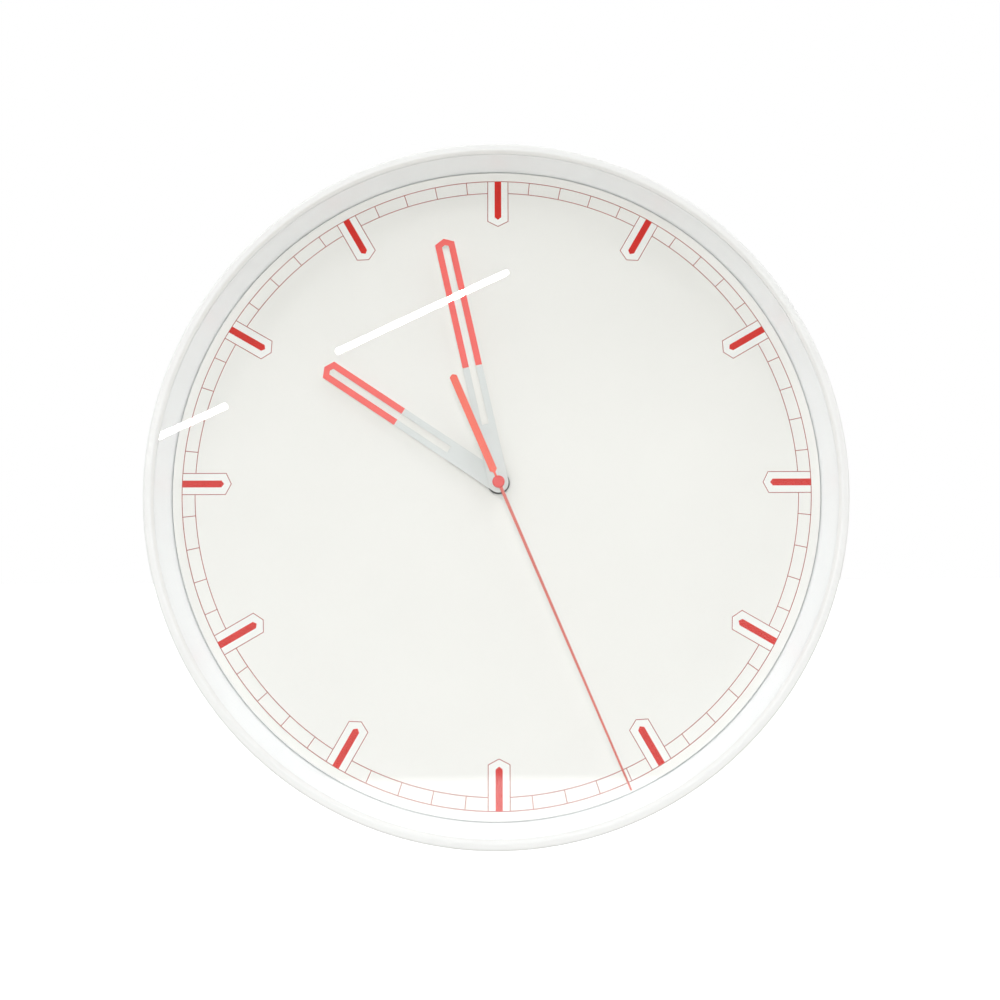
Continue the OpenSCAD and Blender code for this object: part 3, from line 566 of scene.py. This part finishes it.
SECOND_T, SECOND_EDGE, TIP, TAIL = 0.4, 0.07, 139.9, 51.4
NEEDLE_START, NEEDLE_ROOT_HALF_W, NEEDLE_TIP_HALF_W = 3.2, 0.68, 0.43
HUB_R, NECK_HALF_W, TAIL_HALF_W = 2.4, 0.45, 1.65
NECK_TOP, NECK_LOW, TAIL_TOP = -2.35, -4.5, -5.6
hub = [(HUB_R * math.sin(math.radians(a)), HUB_R * math.cos(math.radians(a))) for a in range(20, 167, 7)]
tail_right = [(NECK_HALF_W, NECK_TOP), (NECK_HALF_W, NECK_LOW), (TAIL_HALF_W, TAIL_TOP),
              (TAIL_HALF_W, 1 - TAIL)]
tail_left = [(-x, y) for x, y in reversed(tail_right)]
tail = fillet(tail_right + [(0, -TAIL)] + tail_left, [0.1, 0.2, 0.5, 0.6, 0.5, 0.6, 0.5, 0.2, 0.1], 4)
right = [(NEEDLE_TIP_HALF_W, TIP), (NEEDLE_ROOT_HALF_W, NEEDLE_START)] + hub
left = [(-x, y) for x, y in reversed(right)]
second = slab([right + tail + left, circle(0.5, 32)], SECOND_Z, SECOND_Z + SECOND_T, SECOND_EDGE, 3)
cut_across(second, NEEDLE_START)
# Faces beyond the needle's start take the darker coral of painted shade, and the underside takes pale metal
for face in second.faces:
    needle = int(face.calc_center_median().y > NEEDLE_START)
    face.material_index = 2 if face.normal.z < -0.5 else needle
second.transform(Matrix.Rotation(-math.radians(SECOND_ANGLE), 4, "Z"))
piece("second_hand_plate", second, "second_train", "coral_paint", "second_coral", "second_needle_shade",
      "hand_back", replaces=["second_hand"])

cap = fillet([(0, CAP_LOW), (CAP_R, CAP_LOW), (CAP_R, CAP_TOP), (0, CAP_TOP)], [0, 0.12, 0.6, 0], 6)
piece("second_hand_cap", lathe(cap, SMALL_STEPS), "second_train", "cap_red", "cap_red",
      replaces=["second_cap"])


# ---------------------------------------------------------------- CAD nodes that stay

def soften(node, width, look_name):
    """Keeps a CAD node, with its edges broken by width millimetres and its own material."""
    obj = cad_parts[node]
    obj.data.materials.clear()
    obj.data.materials.append(L[look_name])
    obj.data.shade_smooth()
    weld = obj.modifiers.new("weld", "WELD")
    weld.merge_threshold = 2e-6
    if width:
        bevel = obj.modifiers.new("edges", "BEVEL")
        bevel.width, bevel.segments = width * MM, 2
        bevel.limit_method, bevel.angle_limit = "ANGLE", math.radians(40)
        bevel.use_clamp_overlap = True
    split = obj.modifiers.new("split", "EDGE_SPLIT")
    split.split_angle = math.radians(CAD_SHARP)
    soft_normals(obj)


# Look, then each node and the width of its broken edges
KEPT = {
    "grey_foam": {"dial_foam": 0},
    "back_plastic": {"carrier": 0.3},
    "zinc_steel": {"case_screws": 0.08, "hanger_plate": 0.15, "hanger_screws": 0.06, "crystal_can": 0,
                   "second_arbor": 0.05, "third_arbor": 0, "middle_arbor": 0},
    "black_plastic": {"movement_front": 0.2, "movement_rear": 0.2, "set_knob": 0.15},
    "soft_iron": {"stator": 0.05, "coil_core": 0.05},
    "copper_wire": {"coil_winding": 0},
    "green_board": {"circuit_board": 0.05},
    "black_resin": {"timing_chip": 0},
    "contact_brass": {"contact_plus": 0.08, "contact_minus": 0.08, "second_bush": 0.05, "minute_bush": 0.1,
                      "hour_bush": 0.1, "clutch_spring": 0},
    "battery_wrap": {"battery_sleeve": 0},
    "nickel": {"battery_cap": 0.1, "battery_base": 0.15},
    "magnet_grey": {"rotor_magnet": 0.1},
    "gear_plastic": {"coil_bobbin": 0.1, "second_wheel": 0, "minute_arbor": 0, "hour_wheel": 0,
                     "centre_wheel": 0, "third_wheel": 0, "middle_wheel": 0, "rotor_pinion": 0,
                     "motion_wheel": 0, "set_stem": 0},
}
for look_name, nodes in KEPT.items():
    for node, width in nodes.items():
        soften(node, width, look_name)


# ---------------------------------------------------------------- floor, camera and light

def stage_object(name, bm, material):
    mesh = bpy.data.meshes.new(name)
    bm.to_mesh(mesh)
    bm.free()
    mesh.materials.append(material)
    obj = bpy.data.objects.new(name, mesh)
    bpy.context.scene.collection.objects.link(obj)
    return obj


# The floor glows a little, so that it stays as pale as the background
FLOOR_Z, FLOOR_HALF, FLOOR_GLOW = -0.5, 14, 0.6
floor_shader = L["floor_pale"].node_tree.nodes["Principled BSDF"]
floor_shader.inputs["Emission Color"].default_value = (1, 1, 1, 1)
floor_shader.inputs["Emission Strength"].default_value = FLOOR_GLOW
ground = bmesh.new()
bmesh.ops.create_grid(ground, x_segments=4, y_segments=4, size=FLOOR_HALF,
                      matrix=Matrix.Translation((0, 0, FLOOR_Z)))
floor = stage_object("floor", ground, L["floor_pale"])
floor.visible_diffuse = floor.visible_glossy = floor.visible_transmission = False

# The camera stands 440 mm in front of the dial, a little below the clock's axis, and looks up
CAMERA_AT = (-0.00014, -0.46169, -0.02897)
CAMERA_TURNS = (("X", 97.8654), ("Y", -1.0654), ("Z", -0.1247))
camera_data = bpy.data.cameras.new("camera")
camera_data.sensor_fit, camera_data.sensor_width, camera_data.lens = "HORIZONTAL", 36, 35.626
camera_data.shift_x, camera_data.shift_y = -0.01643, -0.08755
camera_data.clip_start, camera_data.clip_end = 0.02, 60
camera = bpy.data.objects.new("camera", camera_data)
camera_place = Matrix.Translation(CAMERA_AT)
for axis, degrees in CAMERA_TURNS:
    camera_place = camera_place @ Matrix.Rotation(math.radians(degrees), 4, axis)
camera.matrix_world = camera_place
bpy.context.scene.collection.objects.link(camera)
bpy.context.scene.camera = camera

LAMP_DISTANCE = 2.6


def soft_light(name, direction, size, power):
    """Square lamp that faces the clock from a direction and shows in no reflection."""
    data = bpy.data.lights.new(name, "AREA")
    data.shape, data.size, data.energy = "SQUARE", size, power
    lamp = bpy.data.objects.new(name, data)
    lamp.location = Vector(direction).normalized() * LAMP_DISTANCE
    lamp.rotation_mode = "QUATERNION"
    lamp.rotation_quaternion = lamp.location.to_track_quat("Z", "Y")
    lamp.visible_camera = lamp.visible_glossy = lamp.visible_transmission = False
    bpy.context.scene.collection.objects.link(lamp)


soft_light("lamp_right", (0.73, -1, 1.18), 0.35, 4.5)
soft_light("lamp_left", (-0.87, -1, 1.03), 0.35, 6)
soft_light("lamp_low", (-0.2, -1, -1.3), 2.2, 10)
soft_light("lamp_front", (0, -1, 0.08), 1.1, 24)

TUBE_R, TUBE_STRENGTH, END_STEPS = 0.0098, 50, 6


def tube(name, start, end):
    """Fluorescent tube with round ends that only the glass shows."""
    m = bpy.data.materials.new(name)
    m.use_nodes = True
    nt = m.node_tree
    nt.nodes.remove(nt.nodes["Principled BSDF"])
    glow = add(nt, "ShaderNodeEmission", Color=(1, 1, 1, 1), Strength=TUBE_STRENGTH)
    nt.links.new(glow.outputs[0], nt.nodes["Material Output"].inputs[0])
    start, end = Vector(start), Vector(end)
    length = (end - start).length
    quarter = [math.pi / 2 * k / END_STEPS for k in range(1, END_STEPS + 1)]
    profile = [(0, 0)] + [(TUBE_R * math.sin(t), TUBE_R * (1 - math.cos(t))) for t in quarter]
    profile += [(r, length - z) for r, z in reversed(profile)]
    bm = lathe(profile, 24)
    bm.transform(Matrix.Translation(start) @ (end - start).to_track_quat("Z", "Y").to_matrix().to_4x4())
    obj = stage_object(name, bm, m)
    obj.visible_camera = obj.visible_diffuse = obj.visible_transmission = obj.visible_shadow = False


tube("tube_long", (-0.4965, -2.6, 0.57), (0.0339, -2.6, 0.8246))
tube("tube_far", (-1.216, -2.6, 0.221), (-0.819, -2.6, 0.407))


# ---------------------------------------------------------------- room

def background(colour, strength):
    return add(nt, "ShaderNodeBackground", Color=colour, Strength=strength).outputs[0]


def choose(factor, a, b):
    """Shader a where the factor is 0 and b where it is 1."""
    return add(nt, "ShaderNodeMixShader", factor, a, b).outputs[0]


world = bpy.data.worlds.new("studio")
bpy.context.scene.world = world
world.use_nodes = True
nt = world.node_tree
nt.nodes.clear()
direction = nt.nodes.new("ShaderNodeTexCoord").outputs["Generated"]
up = add(nt, "ShaderNodeSeparateXYZ", direction).outputs["Z"]
away = add(nt, "ShaderNodeSeparateXYZ", direction).outputs["Y"]  # -1 in front of the clock, 1 behind it

# Soft light: weak from straight ahead, strong from all round, weaker from below and from behind
ring = spread(nt, away, 0.37, 1.15, -0.64, -0.5)
from_above = spread(nt, up, 0.81, 1.23, -1, 1)
from_behind = spread(nt, away, 1, 0.55, -0.05, 0.25)
strength = maths(nt, "MULTIPLY", maths(nt, "MULTIPLY", ring, from_above), from_behind)
warmth = two_colours(nt, spread(nt, up, 0, 1, -0.7, 0.7), (1, 0.985, 0.935), (0.985, 0.995, 1))
sky = background(warmth, strength)

# What the glass reflects ahead: brightness by height, from 0 straight down to 1 straight up, with a
# bright band that has a straight upper edge and starts about 12 degrees below the camera's level
STOPS = [(0.0, 0.12), (0.31, 0.16), (0.358, 0.68), (0.3925, 0.68), (0.3935, 0.235), (0.54, 0.19),
         (0.61, 0.07), (0.68, 0.02), (1.0, 0.05)]
ramp = nt.nodes.new("ShaderNodeValToRGB")
elements = ramp.color_ramp.elements
while len(elements) < len(STOPS):
    elements.new(0.5)
for element, (position, value) in zip(elements, STOPS):
    element.position, element.color = position, (value, value, value, 1)
nt.links.new(spread(nt, up, 0, 1, -1, 1), ramp.inputs[0])
front_room = background(ramp.outputs[0], 4)
side_room = background((1, 1, 1, 1), spread(nt, up, 0.15, 0.95, -0.4, 0.9))
room = choose(spread(nt, away, 0, 1, -0.88, -0.7), front_room, side_room)

# The camera sees plain white, glossy surfaces see the room, and the rest is lit by the sky
path = nt.nodes.new("ShaderNodeLightPath")
shine = choose(path.outputs["Is Glossy Ray"], sky, room)
seen = choose(path.outputs["Is Camera Ray"], shine, background((1, 1, 1, 1), 1))
out = nt.nodes.new("ShaderNodeOutputWorld")
nt.links.new(seen, out.inputs[0])

bpy.context.scene.view_settings.view_transform = "Standard"
